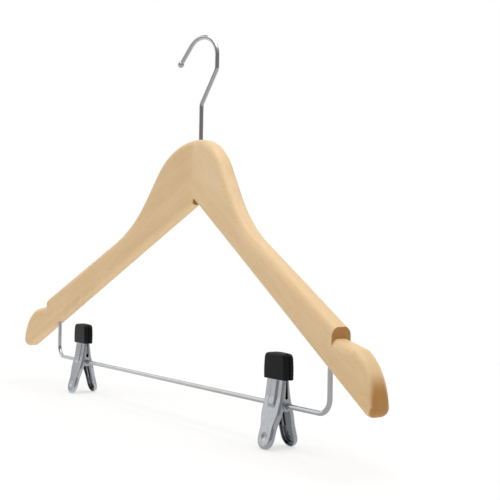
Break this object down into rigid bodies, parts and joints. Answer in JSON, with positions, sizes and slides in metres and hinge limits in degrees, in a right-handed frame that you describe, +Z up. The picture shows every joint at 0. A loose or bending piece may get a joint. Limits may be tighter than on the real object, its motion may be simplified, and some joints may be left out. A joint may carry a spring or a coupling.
{
  "type": "skirt hanger",
  "caption": "Contoured wooden hanger with a swivel wire hook, a wire trouser bar and sliding spring clips with soft jaw caps for skirts.",
  "frame": {"origin": "the seat of the hook: the inside top of its bow, where it rests on a rail, straight above the middle of the board", "axes": "+Z up, +X along the hanger to the right arm, -Y forward, the way the tips bend; the hook is turned 15 degrees about Z"},
  "size_m": [0.445, 0.0456, 0.2647],
  "materials": {
    "wood": "clear satin lacquer",
    "hook_chrome": "polished chrome",
    "bar_chrome": "polished chrome",
    "washer_steel": "zinc plated",
    "clip_steel": "nickel plated pressing",
    "spring_steel": "bright spring wire",
    "jaw_cap": "satin black soft plastic"
  },
  "bodies": {
    "hook": {"hook": "hook_chrome"},
    "board": {"left_arm": "wood", "right_arm": "wood", "hook_washer": "washer_steel", "clip_bar": "bar_chrome"},
    "left_clip_carrier": {"left_pivot_tube": "clip_steel"},
    "left_clip_front": {"left_front_lever": "clip_steel", "left_front_jaw_cap": "jaw_cap", "left_spring": "spring_steel"},
    "left_clip_rear": {"left_rear_lever": "clip_steel", "left_rear_jaw_cap": "jaw_cap"},
    "right_clip_carrier": {"right_pivot_tube": "clip_steel"},
    "right_clip_front": {"right_front_lever": "clip_steel", "right_front_jaw_cap": "jaw_cap", "right_spring": "spring_steel"},
    "right_clip_rear": {"right_rear_lever": "clip_steel", "right_rear_jaw_cap": "jaw_cap"}
  },
  "joints": [
    {"name": "hook_swivel", "type": "hinge", "parent": "hook", "child": "board", "pos_m": [0, 0, 0], "axis": [0, 0, 1], "continuous": true},
    {"name": "left_clip_slide", "type": "slide", "parent": "board", "child": "left_clip_carrier", "axis": [1, 0, 0], "range_m": [-0.025, 0.117]},
    {"name": "left_clip_turn", "type": "hinge", "parent": "left_clip_carrier", "child": "left_clip_front", "pos_m": [-0.1295, -0.02606, -0.2371], "axis": [1, 0, 0], "continuous": true},
    {"name": "left_clip_opening", "type": "hinge", "parent": "left_clip_front", "child": "left_clip_rear", "pos_m": [-0.1295, -0.02606, -0.2371], "axis": [-1, 0, 0], "range_deg": [0, 32], "stiffness_Nm_per_rad": 0.135, "springref_deg": -60.16, "deforming": ["left_spring"]},
    {"name": "right_clip_slide", "type": "slide", "parent": "board", "child": "right_clip_carrier", "axis": [1, 0, 0], "range_m": [-0.117, 0.025]},
    {"name": "right_clip_turn", "type": "hinge", "parent": "right_clip_carrier", "child": "right_clip_front", "pos_m": [0.1295, -0.02606, -0.2371], "axis": [1, 0, 0], "continuous": true},
    {"name": "right_clip_opening", "type": "hinge", "parent": "right_clip_front", "child": "right_clip_rear", "pos_m": [0.1295, -0.02606, -0.2371], "axis": [-1, 0, 0], "range_deg": [0, 32], "stiffness_Nm_per_rad": 0.135, "springref_deg": -60.16, "deforming": ["right_spring"]}
  ]
}
